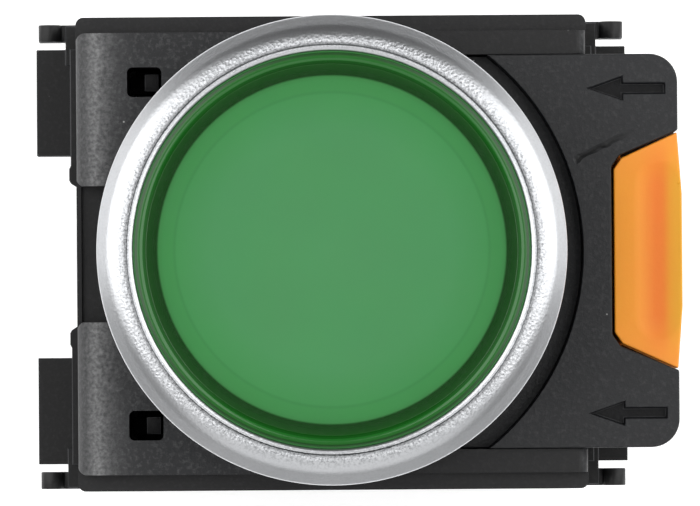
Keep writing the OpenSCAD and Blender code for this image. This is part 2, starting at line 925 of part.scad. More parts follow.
// wired lamp with a domed top
module lamp_led() {
    body_r = 2.45;
    flange_h = 0.8;
    body_h = 5.2;
    color([0.75, 0.9, 0.78]) {
        translate([0, 0, lamp_seat_z()])
            cylinder(r = 2.75, h = flange_h);
        translate([0, 0, lamp_seat_z()])
            cylinder(r = body_r, h = body_h);
        translate([0, 0, lamp_seat_z() + body_h])
            sphere(r = body_r);
        for (side = [-1, 1])
            translate([side * 1.27, 0, board_z])
                cylinder(r = 0.25, h = lamp_seat_z() + flange_h - board_z);
    }
}

// brass leads from the board to the lamp block's cages
module lamp_leads() {
    riser_x = 7;
    foot_low = strip_foot_z - strip_t;
    color([0.78, 0.62, 0.3])
        for (side = [0, 1])
            mirror([side, 0, 0]) {
                slab([riser_x - strip_t, -1.3, foot_low], [riser_x, 1.3, board_z - 1.2]);
                slab([riser_x - strip_t, -1.3, foot_low], [lamp_cage_x + 2.2, 1.3, strip_foot_z]);
            }
}

// centre of every terminal
terminal_spots = [
    [cage_x, block_y], [-cage_x, block_y], [cage_x, -block_y], [-cage_x, -block_y],
    [lamp_cage_x, 0], [-lamp_cage_x, 0]
];

// zinc-plated box clamps, one for each terminal
module terminal_cages() {
    color([0.6, 0.61, 0.63])
        for (spot = terminal_spots)
            translate(spot)
                difference() {
                    slab([-cage_l / 2, -cage_half_y, cage_bottom_z], [cage_l / 2, cage_half_y, cage_top_z]);
                    slab(
                        [-cage_l, -cage_half_y + cage_wall, cage_bottom_z + cage_wall],
                        [cage_l, cage_half_y - cage_wall, cage_top_z - cage_wall]
                    );
                    translate([0, 0, cage_bottom_z - past])
                        cylinder(r = screw_r + fit, h = 2 * past);
                }
}

// clamp screws with a cross slot, reached from the rear
module terminal_screws() {
    head_low = rear_z + 0.7;
    head_high = rear_z + 2.8;
    slot_half_w = 0.4;
    slot_reach = 1.9;
    slot_depth = 1.1;
    color([0.72, 0.73, 0.74])
        for (spot = terminal_spots)
            translate([spot.x, spot.y, 0])
                difference() {
                    union() {
                        translate([0, 0, head_low])
                            cylinder(r = screw_head_r, h = head_high - head_low);
                        translate([0, 0, head_low])
                            cylinder(r = screw_r, h = cage_bottom_z + 1.4 - head_low);
                    }
                    slab(
                        [-slot_reach, -slot_half_w, head_low - past],
                        [slot_reach, slot_half_w, head_low + slot_depth]
                    );
                    slab(
                        [-slot_half_w, -slot_reach, head_low - past],
                        [slot_half_w, slot_reach, head_low + slot_depth]
                    );
                }
}

bezel_ring();
panel_gasket();
head_barrel();
lens_cap();
diffuser();
lens_carrier();
wiper_seal();
return_spring();
adapter_base();
cover_plate();
locking_slide();
make_housing();
make_cover();
make_plunger();
make_bridge();
make_moving_tips();
make_contact_spring();
make_return_spring();
make_terminals();
break_housing();
break_cover();
break_plunger();
break_bridge();
break_moving_tips();
break_contact_spring();
break_return_spring();
break_terminals();
fixed_tips();
lamp_housing();
lamp_cover();
lamp_board();
lamp_resistor();
lamp_led();
lamp_leads();
terminal_cages();
terminal_screws();
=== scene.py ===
import math

import bmesh
import bpy
import numpy as np
from mathutils import Matrix, Vector


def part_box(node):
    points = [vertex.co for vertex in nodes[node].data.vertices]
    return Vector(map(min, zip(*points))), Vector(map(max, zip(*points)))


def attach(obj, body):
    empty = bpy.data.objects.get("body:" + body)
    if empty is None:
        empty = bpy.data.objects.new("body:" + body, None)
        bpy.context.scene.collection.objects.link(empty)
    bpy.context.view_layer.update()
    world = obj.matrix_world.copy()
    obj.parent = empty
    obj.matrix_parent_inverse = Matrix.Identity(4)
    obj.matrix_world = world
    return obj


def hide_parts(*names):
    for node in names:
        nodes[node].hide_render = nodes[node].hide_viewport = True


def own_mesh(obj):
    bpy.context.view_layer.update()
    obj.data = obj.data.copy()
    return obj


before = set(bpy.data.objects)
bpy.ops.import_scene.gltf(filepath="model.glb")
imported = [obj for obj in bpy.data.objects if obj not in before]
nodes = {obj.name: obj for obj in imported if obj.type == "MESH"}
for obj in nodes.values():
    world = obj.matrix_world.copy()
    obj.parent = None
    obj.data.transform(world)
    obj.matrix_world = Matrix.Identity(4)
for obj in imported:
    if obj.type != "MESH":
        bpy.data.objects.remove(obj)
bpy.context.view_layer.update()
mm = 0.001
print("frame loaded:", len(nodes), "CAD nodes")

# sockets of a Mix node that blends colours: its two colours and its result
mixA, mixB, mixOut = 6, 7, 2


def linear(hexColour):
    # sRGB hex to the linear values that shaders take, with full alpha
    parts = [int(hexColour[i:i + 2], 16) / 255 for i in (1, 3, 5)]
    return tuple(c / 12.92 if c <= 0.04045 else ((c + 0.055) / 1.055) ** 2.4
                 for c in parts) + (1.0,)


def addNode(tree, kind, settings=None, links=None):
    # one node: settings go to sockets or properties of that name, links feed its inputs
    node = tree.nodes.new("ShaderNode" + kind)
    for name, value in (settings or {}).items():
        if not isinstance(name, str) or name in node.inputs:
            node.inputs[name].default_value = value
        else:
            setattr(node, name, value)
    for name, source in (links or {}).items():
        tree.links.new(source, node.inputs[name])
    return node


def startMaterial(name):
    material = bpy.data.materials.new(name)
    material.use_nodes = True
    tree = material.node_tree
    tree.nodes.clear()
    shader = addNode(tree, "BsdfPrincipled")
    addNode(tree, "OutputMaterial", links={"Surface": shader.outputs[0]})
    place = addNode(tree, "TexCoord").outputs["Object"]
    return material, tree, shader, place


def setRamp(node, stops):
    # colour ramp stops as (position, linear colour)
    ramp = node.color_ramp
    while len(ramp.elements) > len(stops):
        ramp.elements.remove(ramp.elements[-1])
    while len(ramp.elements) < len(stops):
        ramp.elements.new(0.5)
    for element, (position, colour) in zip(ramp.elements, stops):
        element.position = position
        element.color = colour
    return node


def grey(value):
    return (value, value, value, 1)


def reopen(material):
    # what a second finish needs to lie over the first: tree, shader, colour so far and place
    tree = material.node_tree
    shader = next(n for n in tree.nodes if n.type == "BSDF_PRINCIPLED")
    colour = shader.inputs["Base Color"].links[0].from_socket
    return tree, shader, colour, addNode(tree, "TexCoord").outputs["Object"]


def fromAxis(tree, place):
    # distance from the push axis, the length of (x, y)
    axes = addNode(tree, "SeparateXYZ", links={"Vector": place})
    flat = addNode(tree, "CombineXYZ", links={"X": axes.outputs["X"], "Y": axes.outputs["Y"]})
    reach = addNode(tree, "VectorMath", {"operation": "LENGTH"}, {0: flat.outputs["Vector"]})
    return reach.outputs["Value"]


# what all mouldings share: depth of grain and pits in mm, colour of dust, and IOR of the plastic
plastic = {"grainDeepMm": 0.03, "pitDeepMm": 0.015, "dust": "#b9bab8", "ior": 1.53}


def moulded(name, look):
    # injection-moulded plastic from a spark-eroded tool: fine even grain, soft broad sheen, slow
    # tone changes where the flow cooled, and a few pale dust specks; the real grain is about
    # 0.05 mm and is drawn as coarse as grainMm so that it shows
    material, tree, shader, place = startMaterial(name)
    grain = addNode(tree, "TexNoise",
                    {"Scale": 1000 / look["grainMm"], "Detail": 3.0, "Roughness": 0.6},
                    {"Vector": place})
    pits = addNode(tree, "TexVoronoi", {"Scale": 1000 / (look["grainMm"] * 1.6)},
                   {"Vector": place})
    flow = addNode(tree, "TexNoise",
                   {"Scale": 1000 / look["flowMm"], "Detail": 4.0, "Distortion": 0.6},
                   {"Vector": place})
    base = addNode(tree, "Mix", {"data_type": "RGBA", mixA: linear(look["dark"]),
                                 mixB: linear(look["light"])}, {0: flow.outputs["Fac"]})
    fleck = setRamp(addNode(tree, "ValToRGB", links={"Fac": grain.outputs["Fac"]}),
                    [(0.5, grey(0)), (0.72, grey(look["fleck"]))])
    flecked = addNode(tree, "Mix", {"data_type": "RGBA", "blend_type": "ADD", 0: 1.0},
                      {mixA: base.outputs[mixOut], mixB: fleck.outputs["Color"]})
    specks = addNode(tree, "TexVoronoi", {"Scale": 1000 / look["dustMm"], "Randomness": 1.0},
                     {"Vector": place})
    speckMask = setRamp(addNode(tree, "ValToRGB", links={"Fac": specks.outputs["Distance"]}),
                        [(0.0, grey(1)), (look["dustSize"], grey(0))])
    dusty = addNode(tree, "Mix", {"data_type": "RGBA", mixB: linear(plastic["dust"])},
                    {0: speckMask.outputs["Color"], mixA: flecked.outputs[mixOut]})
    tree.links.new(dusty.outputs[mixOut], shader.inputs["Base Color"])
    rough = addNode(tree, "MapRange",
                    {"To Min": look["roughness"] - 0.06, "To Max": look["roughness"] + 0.08},
                    {"Value": flow.outputs["Fac"]})
    tree.links.new(rough.outputs["Result"], shader.inputs["Roughness"])
    fine = addNode(tree, "Bump",
                   {"Strength": look["grain"], "Distance": plastic["grainDeepMm"] * mm},
                   {"Height": grain.outputs["Fac"]})
    coarse = addNode(tree, "Bump",
                     {"Strength": look["grain"] * 0.6, "Distance": plastic["pitDeepMm"] * mm},
                     {"Height": pits.outputs["Distance"], "Normal": fine.outputs["Normal"]})
    tree.links.new(coarse.outputs["Normal"], shader.inputs["Normal"])
    shader.inputs["IOR"].default_value = plastic["ior"]
    shader.inputs["Specular IOR Level"].default_value = look["specular"]
    return material


def paintedEdgeHighlight(name, look):
    # the same moulding for the rounded edges, smoother and paler in colour; the paler colour is a
    # painted highlight along the edges
    edge = dict(look, dark=look["edge"], light=look["edge"], grain=look["grain"] * 0.3,
                roughness=look["roughness"] - 0.1, fleck=look["fleck"] * 0.5)
    return moulded(name, edge)


def paintedSheen(material, look):
    # a painted sheen on the rounded outer ends of the pads, where they catch the light, drawn as
    # paler colour: broken up by coarse speckle, it fades inwards along X and stops below the pads
    tree, shader, colour, place = reopen(material)
    axes = addNode(tree, "SeparateXYZ", links={"Vector": place})
    low, high = look["sheenLevels"][0][0], look["sheenLevels"][-1][0]
    share = addNode(tree, "MapRange", {"From Min": low * mm, "From Max": high * mm},
                    {"Value": axes.outputs["X"]})
    sheenLevels = setRamp(addNode(tree, "ValToRGB", links={"Fac": share.outputs["Result"]}),
                    [((x - low) / (high - low), grey(level)) for x, level in look["sheenLevels"]])
    top = addNode(tree, "MapRange",
                  {"From Min": look["sheenZ"][0] * mm, "From Max": look["sheenZ"][1] * mm},
                  {"Value": axes.outputs["Z"]})
    speckle = addNode(tree, "TexNoise", {"Scale": 1000 / look["speckleMm"], "Detail": 3.0},
                      {"Vector": place})
    broken = addNode(tree, "MapRange",
                     {"From Min": 0.3, "From Max": 0.7,
                      "To Min": look["speckle"][0], "To Max": look["speckle"][1]},
                     {"Value": speckle.outputs["Fac"]})
    level = addNode(tree, "Math", {"operation": "MULTIPLY"},
                    {0: sheenLevels.outputs["Color"], 1: top.outputs["Result"]})
    amount = addNode(tree, "Math", {"operation": "MULTIPLY"},
                     {0: level.outputs[0], 1: broken.outputs["Result"]})
    paler = addNode(tree, "Mix", {"data_type": "RGBA", "blend_type": "ADD", 0: 1.0},
                    {mixA: colour, mixB: amount.outputs[0]})
    tree.links.new(paler.outputs[mixOut], shader.inputs["Base Color"])
    return material


def darkCreased(material, look):
    # a fine dark crease across the plate, darker in colour and sunk by a bump, that wavers a little
    # and fades along its length
    tree, shader, colour, place = reopen(material)
    normal = shader.inputs["Normal"].links[0].from_socket
    turn = math.atan2(look["end"][1] - look["start"][1], look["end"][0] - look["start"][0])
    along = addNode(tree, "Mapping",
                    {"vector_type": "TEXTURE", "Location": [c * mm for c in look["start"]] + [0],
                     "Rotation": (0, 0, turn)}, {"Vector": place})
    wave = addNode(tree, "TexNoise", {"Scale": 1000 / look["waverMm"], "Detail": 2.0},
                   {"Vector": place})
    shift = addNode(tree, "MapRange",
                    {"To Min": -look["shiftMm"] * mm, "To Max": look["shiftMm"] * mm},
                    {"Value": wave.outputs["Fac"]})
    axes = addNode(tree, "SeparateXYZ", links={"Vector": along.outputs["Vector"]})
    off = addNode(tree, "Math", {"operation": "ADD"},
                  {0: axes.outputs["Y"], 1: shift.outputs["Result"]})
    apart = addNode(tree, "Math", {"operation": "ABSOLUTE"}, {0: off.outputs[0]})
    line = addNode(tree, "MapRange",
                   {"From Min": 0, "From Max": look["halfMm"] * mm, "To Min": 1, "To Max": 0},
                   {"Value": apart.outputs[0]})
    share = addNode(tree, "MapRange", {"From Max": look["lengthMm"] * mm},
                    {"Value": axes.outputs["X"]})
    fade = setRamp(addNode(tree, "ValToRGB", links={"Fac": share.outputs["Result"]}),
                   [(0.0, grey(0)), (0.04, grey(1)), (0.65, grey(0.8)), (1.0, grey(0))])
    mask = addNode(tree, "Math", {"operation": "MULTIPLY"},
                   {0: line.outputs["Result"], 1: fade.outputs["Color"]})
    darker = addNode(tree, "Mix", {"data_type": "RGBA", mixB: linear(look["tone"])},
                     {0: mask.outputs[0], mixA: colour})
    tree.links.new(darker.outputs[mixOut], shader.inputs["Base Color"])
    crease = addNode(tree, "Bump",
                     {"Strength": 1.0, "Distance": look["deepMm"] * mm, "invert": True},
                     {"Height": mask.outputs[0], "Normal": normal})
    tree.links.new(crease.outputs["Normal"], shader.inputs["Normal"])
    return material


def translucentPaintedTones(name, look):
    # brightly pigmented plastic that lets a little light through; colour drawn along X paints light
    # and shade: a redder painted shade in the thumb valley and a yellower painted highlight on the
    # bowed outer edge
    material = moulded(name, look)
    tree, shader, colour, place = reopen(material)
    axes = addNode(tree, "SeparateXYZ", links={"Vector": place})
    low, high = look["paintedTones"][0][0], look["paintedTones"][-1][0]
    share = addNode(tree, "MapRange", {"From Min": low * mm, "From Max": high * mm},
                    {"Value": axes.outputs["X"]})
    across = setRamp(addNode(tree, "ValToRGB", links={"Fac": share.outputs["Result"]}),
                     [((x - low) / (high - low), linear(tone)) for x, tone in look["paintedTones"]])
    across.color_ramp.interpolation = "B_SPLINE"
    side = addNode(tree, "Math", {"operation": "ABSOLUTE"}, {0: axes.outputs["Y"]})
    ends = addNode(tree, "MapRange",
                   {"From Min": look["endsMm"][0] * mm, "From Max": look["endsMm"][1] * mm},
                   {"Value": side.outputs[0]})
    ended = addNode(tree, "Mix", {"data_type": "RGBA", mixB: linear(look["endTone"])},
                    {0: ends.outputs["Result"], mixA: across.outputs["Color"]})
    blended = addNode(tree, "Mix", {"data_type": "RGBA", 0: look["tint"]},
                      {mixA: colour, mixB: ended.outputs[mixOut]})
    tree.links.new(blended.outputs[mixOut], shader.inputs["Base Color"])
    shader.inputs["Subsurface Weight"].default_value = look["glow"]
    shader.inputs["Subsurface Radius"].default_value = [reach * mm for reach in look["glowMm"]]
    shader.inputs["Subsurface Scale"].default_value = 1.0
    return material


blackLook = {"dark": "#0d0e10", "light": "#18191c", "edge": "#2b2c2e", "grainMm": 0.24,
             "flowMm": 9.0, "fleck": 0.03, "dustMm": 2.6, "dustSize": 0.03, "roughness": 0.46,
             "grain": 0.85, "specular": 0.72}
# the pads' painted sheen: X in mm and how much linear tone it adds there; speckle: the least and
# most share of it
adapterLook = dict(blackLook, roughness=0.48, specular=0.32, sheenZ=(-5.0, -3.7),
                   speckleMm=0.22, speckle=(0.45, 1.55),
                   sheenLevels=[(-16.2, 0.008), (-15.7, 0.033), (-15.3, 0.075), (-15.05, 0.1),
                          (-14.8, 0.092), (-14.4, 0.06), (-14.0, 0.033), (-13.6, 0.02),
                          (-13.0, 0.008), (-12.3, 0.002), (-11.0, 0.0)])
plateLook = dict(blackLook, dark="#0a0b0d", light="#16171a", specular=0.32, fleck=0.012)
bandLook = dict(blackLook, dark="#0e0e0f", light="#161617", specular=0.26, fleck=0.006, grain=0.4)
# a darker copy of the moulding for recess floors and deep hook tops: painted shade
paintedShadeLook = dict(blackLook, dark="#070708", light="#0e0e10", specular=0.15, fleck=0.004)
smoothLook = dict(blackLook, dark="#0b0b0b", light="#121213", grain=0.25, roughness=0.42,
                  specular=0.26, fleck=0.006)
# painted tones: X in mm and the colour there, shade in the valley and highlight at the edge;
# endsMm: where the colour starts and ends its turn to endTone
orangeLook = {"dark": "#e98a22", "light": "#ef9530", "grainMm": 0.2, "flowMm": 6.0,
              "fleck": 0.01, "dustMm": 3.4, "dustSize": 0.012, "roughness": 0.5, "grain": 0.2,
              "specular": 0.3, "tint": 0.8, "glow": 0.15, "glowMm": (1.0, 0.5, 0.15),
              "paintedTones": [(18.0, "#d78b1e"), (19.6, "#d88a1e"), (20.5, "#d3661a"),
                        (21.15, "#d3631a"), (21.6, "#d0921c"), (22.4, "#cd9f21")],
              "endsMm": (4.2, 7.2), "endTone": "#df8a2c"}
greenLook = dict(smoothLook, dark="#11603a", light="#177245", grain=0.15)
redLook = dict(smoothLook, dark="#8c1712", light="#a51f18", grain=0.15)
whiteLook = dict(smoothLook, dark="#d8dcd4", light="#e8ebe4", grain=0.2, fleck=0.0)
rubberLook = dict(blackLook, dark="#0c0c0c", light="#151515", roughness=0.75, grain=0.4)
boardLook = dict(smoothLook, dark="#0f4427", light="#155634", grain=0.3)
resistorLook = dict(smoothLook, dark="#b99a66", light="#cdb07c", grain=0.1)
epoxyLook = dict(smoothLook, dark="#a8d8b2", light="#bfe6c6", grain=0.05, roughness=0.12)
creaseLook = {"start": (15.45, 5.75), "end": (18.3, 7.2), "lengthMm": 4.4, "halfMm": 0.2,
            "waverMm": 0.9, "shiftMm": 0.22, "deepMm": 0.12, "tone": "#050505"}

blackGrained = moulded("spark-textured polyamide", blackLook)
# the adapter's pads carry a painted sheen
blackAdapter = paintedSheen(moulded("rubbed spark-textured polyamide", adapterLook), adapterLook)
blackEdge = paintedEdgeHighlight("spark-textured polyamide edge", blackLook)
blackCreased = darkCreased(moulded("spark-textured polyamide with a dark crease", plateLook), creaseLook)
blackBand = moulded("lightly textured polyamide", bandLook)
blackPaintedShade = moulded("polyamide darkened as painted shade", paintedShadeLook)
blackSmooth = moulded("satin polyamide", smoothLook)
blackSmoothEdge = paintedEdgeHighlight("satin polyamide edge", smoothLook)
orangeGrained = translucentPaintedTones("orange fine-textured polyamide", orangeLook)
orangeEdge = translucentPaintedTones("orange fine-textured polyamide edge",
                     dict(orangeLook, grain=0.06, roughness=0.42))
greenPlunger = moulded("green moulded acetal", greenLook)
redPlunger = moulded("red moulded acetal", redLook)
diffuserWhite = moulded("opal polycarbonate", whiteLook)
nitrileRubber = moulded("nitrile rubber", rubberLook)
boardGreen = moulded("solder-masked glass laminate", boardLook)
resistorTan = moulded("lacquered resistor body", resistorLook)
lampEpoxy = moulded("tinted lamp epoxy", epoxyLook)


def pearlChromedZinc(look):
    # die-cast zinc, glass-bead blasted and then chromed: bright metal broken up by tiny dimples,
    # coarser on the inner half of the crown; drawn a little larger than real so that they show
    material, tree, shader, place = startMaterial("pearl-chromed zinc")
    beads = addNode(tree, "TexNoise",
                    {"Scale": 1000 / look["beadMm"], "Detail": 3.0, "Roughness": 0.7},
                    {"Vector": place})
    cells = addNode(tree, "TexVoronoi", {"Scale": 1000 / (look["beadMm"] * 1.3)},
                    {"Vector": place})
    stain = addNode(tree, "TexNoise", {"Scale": 1000 / look["stainMm"], "Detail": 3.0},
                    {"Vector": place})
    even = addNode(tree, "Mix", {"data_type": "RGBA", mixA: linear(look["dark"]),
                                 mixB: linear(look["light"])}, {0: stain.outputs["Fac"]})
    share = addNode(tree, "MapRange",
                    {"From Min": look["innerMm"] * mm, "From Max": look["outerMm"] * mm},
                    {"Value": fromAxis(tree, place)})
    zones = setRamp(addNode(tree, "ValToRGB", links={"Fac": share.outputs["Result"]}),
                    [(at, grey(value)) for at, value in look["grainZones"]])
    # a darker colour in the fine groove inside the crest: painted shade
    groove = setRamp(addNode(tree, "ValToRGB", links={"Fac": share.outputs["Result"]}),
                     [(at, grey(value)) for at, value in look["grooveShadeZones"]])
    # the dimples are darker in colour where they are deepest: painted shade in the pits
    pitShade = setRamp(addNode(tree, "ValToRGB", links={"Fac": beads.outputs["Fac"]}),
                   [(0.38, grey(0.85)), (0.5, grey(0.25)), (0.62, grey(0))])
    pitShaded = addNode(tree, "Math", {"operation": "MULTIPLY"},
                     {0: pitShade.outputs["Color"], 1: zones.outputs["Color"]})
    tone = addNode(tree, "Mix", {"data_type": "RGBA", mixB: linear(look["pitShade"])},
                   {0: pitShaded.outputs[0], mixA: even.outputs[mixOut]})
    shaded = addNode(tree, "Mix", {"data_type": "RGBA", mixB: linear(look["groove"])},
                     {0: groove.outputs["Color"], mixA: tone.outputs[mixOut]})
    tree.links.new(shaded.outputs[mixOut], shader.inputs["Base Color"])
    # the deeper the dimples, the more they scatter
    rough = addNode(tree, "MapRange",
                    {"To Min": look["roughness"], "To Max": look["roughness"] + look["scatter"]},
                    {"Value": zones.outputs["Color"]})
    tree.links.new(rough.outputs["Result"], shader.inputs["Roughness"])
    fineHeight = addNode(tree, "Math", {"operation": "MULTIPLY"},
                         {0: beads.outputs["Fac"], 1: zones.outputs["Color"]})
    fine = addNode(tree, "Bump", {"Strength": look["grain"], "Distance": look["deepMm"] * mm},
                   {"Height": fineHeight.outputs[0]})
    cellHeight = addNode(tree, "Math", {"operation": "MULTIPLY"},
                         {0: cells.outputs["Distance"], 1: zones.outputs["Color"]})
    dimples = addNode(tree, "Bump", {"Strength": look["grain"], "Distance": look["deepMm"] * mm},
                      {"Height": cellHeight.outputs[0], "Normal": fine.outputs["Normal"]})
    tree.links.new(dimples.outputs["Normal"], shader.inputs["Normal"])
    shader.inputs["Metallic"].default_value = 1.0
    return material


def greenPolycarbonate(look):
    # tinted translucent polycarbonate, polished, but drawn opaque: rings of colour paint the light
    # and shade that would show through it: clear green where the white disc behind returns light,
    # painted shade almost black-green past the disc's edge, a thin painted shadow line near the
    # bezel and a paler painted highlight at the rim; its hairline scuffs are drawn coarser than
    # real
    material, tree, shader, place = startMaterial("green translucent polycarbonate")
    share = addNode(tree, "MapRange", {"From Max": look["radiusMm"] * mm},
                    {"Value": fromAxis(tree, place)})
    paintedLight = setRamp(addNode(tree, "ValToRGB", links={"Fac": share.outputs["Result"]}),
                    [(at / look["radiusMm"], linear(colour)) for at, colour in look["rings"]])
    haze = addNode(tree, "TexNoise", {"Scale": 1000 / look["hazeMm"], "Detail": 3.0},
                   {"Vector": place})
    tone = addNode(tree, "Mix", {"data_type": "RGBA", "blend_type": "MULTIPLY", 0: look["haze"]},
                   {mixA: paintedLight.outputs["Color"], mixB: haze.outputs["Color"]})
    tree.links.new(tone.outputs[mixOut], shader.inputs["Base Color"])
    scuff = addNode(tree, "TexNoise", {"Scale": 1000 / look["scuffMm"], "Detail": 2.0},
                    {"Vector": place})
    rough = addNode(tree, "MapRange",
                    {"To Min": look["roughness"], "To Max": look["roughness"] + 0.1},
                    {"Value": scuff.outputs["Fac"]})
    tree.links.new(rough.outputs["Result"], shader.inputs["Roughness"])
    bump = addNode(tree, "Bump", {"Strength": 0.12, "Distance": look["scuffDeepMm"] * mm},
                   {"Height": scuff.outputs["Fac"]})
    tree.links.new(bump.outputs["Normal"], shader.inputs["Normal"])
    shader.inputs["IOR"].default_value = look["ior"]
    shader.inputs["Specular IOR Level"].default_value = look["specular"]
    return material


def platedMetal(name, light, dark, roughness, grainMm, grain, tarnishMm=3.0, deepMm=0.01):
    # drawn, stamped or plated metal: fine grain without direction, drawn coarser than real so that
    # it shows, and slow tarnish
    material, tree, shader, place = startMaterial(name)
    marks = addNode(tree, "TexNoise", {"Scale": 1000 / grainMm, "Detail": 4.0, "Roughness": 0.65},
                    {"Vector": place})
    tarnish = addNode(tree, "TexNoise", {"Scale": 1000 / tarnishMm, "Detail": 3.0},
                      {"Vector": place})
    tone = addNode(tree, "Mix", {"data_type": "RGBA", mixA: linear(dark), mixB: linear(light)},
                   {0: tarnish.outputs["Fac"]})
    tree.links.new(tone.outputs[mixOut], shader.inputs["Base Color"])
    rough = addNode(tree, "MapRange", {"To Min": roughness - 0.06, "To Max": roughness + 0.12},
                    {"Value": marks.outputs["Fac"]})
    tree.links.new(rough.outputs["Result"], shader.inputs["Roughness"])
    bump = addNode(tree, "Bump", {"Strength": grain, "Distance": deepMm * mm},
                   {"Height": marks.outputs["Fac"]})
    tree.links.new(bump.outputs["Normal"], shader.inputs["Normal"])
    shader.inputs["Metallic"].default_value = 1.0
    return material


# zones run from the bore (0) to the outer edge (1); groove is the colour of the painted shade in
# the fine groove at the crest
chrome = pearlChromedZinc({
    "beadMm": 0.15, "stainMm": 7.0, "deepMm": 0.04, "grain": 1.0, "roughness": 0.3,
    "scatter": 0.08, "light": "#c9cacc", "dark": "#b6b8bb", "pitShade": "#4a4b4d",
    "groove": "#3c3d3f", "innerMm": 12.5, "outerMm": 14.75,
    "grainZones": [(0.0, 0.08), (0.1, 0.3), (0.16, 0.9), (0.3, 0.7), (0.42, 0.4), (0.55, 0.12),
                   (1.0, 0.08)],
    "grooveShadeZones": [(0.0, 0.0), (0.11, 0.0), (0.15, 0.5), (0.2, 0.55), (0.25, 0.0), (1.0, 0.0)]})
# rings: distance from the axis in mm and the colour there, painted light and shade included
greenLens = greenPolycarbonate({
    "radiusMm": 12.45, "roughness": 0.14, "ior": 1.585, "specular": 0.34, "haze": 0.1,
    "hazeMm": 5.0, "scuffMm": 0.3, "scuffDeepMm": 0.005,
    "rings": [(0.0, "#427d4d"), (7.5, "#3f7c4b"), (9.72, "#387943"), (9.86, "#32713d"),
              (10.0, "#35763f"), (10.6, "#33743d"), (10.86, "#316e39"), (10.96, "#013002"),
              (11.3, "#023604"), (11.6, "#084008"), (11.76, "#185a1a"), (11.95, "#1a5a1e"),
              (12.15, "#185619"), (12.24, "#083408"), (12.33, "#0c400e"), (12.4, "#2c6a30"),
              (12.45, "#3a7a3e")]})
springSteel = platedMetal("drawn spring steel", "#b4b6ba", "#8f9196", 0.3, 0.2, 0.3)
zincPlated = platedMetal("bright zinc-plated steel", "#c3c6c9", "#9fa3a8", 0.32, 0.25, 0.35)
copperStrip = platedMetal("stamped copper", "#c98a5e", "#a86a42", 0.35, 0.2, 0.3)
brassStrip = platedMetal("stamped brass", "#d1b06a", "#ab8a48", 0.35, 0.2, 0.3)
silverTip = platedMetal("silver-nickel alloy", "#d9d8d2", "#b5b4ae", 0.4, 0.2, 0.4)
print("materials made:", len(bpy.data.materials))


def gridPiece(name, points, material, closeAround=True):
    # points[i, j]: j runs along the profile and i around; neighbours make quads, doubles are welded
    around, along = points.shape[:2]
    ids = np.arange(around * along).reshape(around, along)
    nextRow = np.roll(ids, -1, axis=0) if closeAround else ids[1:]
    row = ids if closeAround else ids[:-1]
    quads = np.stack([row[:, :-1], nextRow[:, :-1], nextRow[:, 1:], row[:, 1:]], axis=-1)
    mesh = bpy.data.meshes.new(name)
    mesh.from_pydata(points.reshape(-1, 3).tolist(), [], quads.reshape(-1, 4).tolist())
    tidyMesh(mesh)
    mesh.materials.append(material)
    piece = bpy.data.objects.new(name, mesh)
    bpy.context.scene.collection.objects.link(piece)
    return piece


def tidyMesh(mesh):
    # weld doubled points and face every polygon outwards
    work = bmesh.new()
    work.from_mesh(mesh)
    bmesh.ops.remove_doubles(work, verts=work.verts, dist=1e-7)
    bmesh.ops.dissolve_degenerate(work, dist=1e-8, edges=work.edges)
    bmesh.ops.recalc_face_normals(work, faces=work.faces)
    work.to_mesh(mesh)
    work.free()
    mesh.shade_smooth()


def hand(piece, body, nodeName):
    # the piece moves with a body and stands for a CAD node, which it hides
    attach(piece, body)
    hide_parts(nodeName)


def softCorners(corners, steps=8):
    # corners (x, z, radius): each corner but the first and last is replaced by a curve that leaves
    # and meets its two sides at the given distance, a quadratic blend of start, corner and end
    corners = np.array(corners, float)
    spots, radii = corners[1:-1, :2], corners[1:-1, 2]
    before, after = corners[:-2, :2] - spots, corners[2:, :2] - spots
    start = spots + before / np.linalg.norm(before, axis=1, keepdims=True) * radii[:, None]
    end = spots + after / np.linalg.norm(after, axis=1, keepdims=True) * radii[:, None]
    t = np.linspace(0, 1, steps)[None, :, None]
    curve = ((1 - t) ** 2 * start[:, None] + 2 * t * (1 - t) * spots[:, None]
             + t ** 2 * end[:, None])
    return np.vstack([corners[:1, :2], curve.reshape(-1, 2), corners[-1:, :2]])


def turned(name, profile, material, segments=192):
    # a closed profile (radius, height) carried round the push axis:
    # (radius cos angle, radius sin angle, height)
    profile = np.vstack([profile, profile[:1]]) * mm
    angle = np.linspace(0, 2 * np.pi, segments, endpoint=False)[:, None]
    radius = profile[None, :, 0]
    height = np.broadcast_to(profile[None, :, 1], (segments, len(profile)))
    points = np.stack([radius * np.cos(angle), radius * np.sin(angle), height], axis=-1)
    return gridPiece(name, points, material)


# distances in metres, angles in degrees
rounding = {"weldWithin": 2e-6, "flatWithin": 0.5, "sharpOver": 30, "segments": 3, "upward": 0.9}


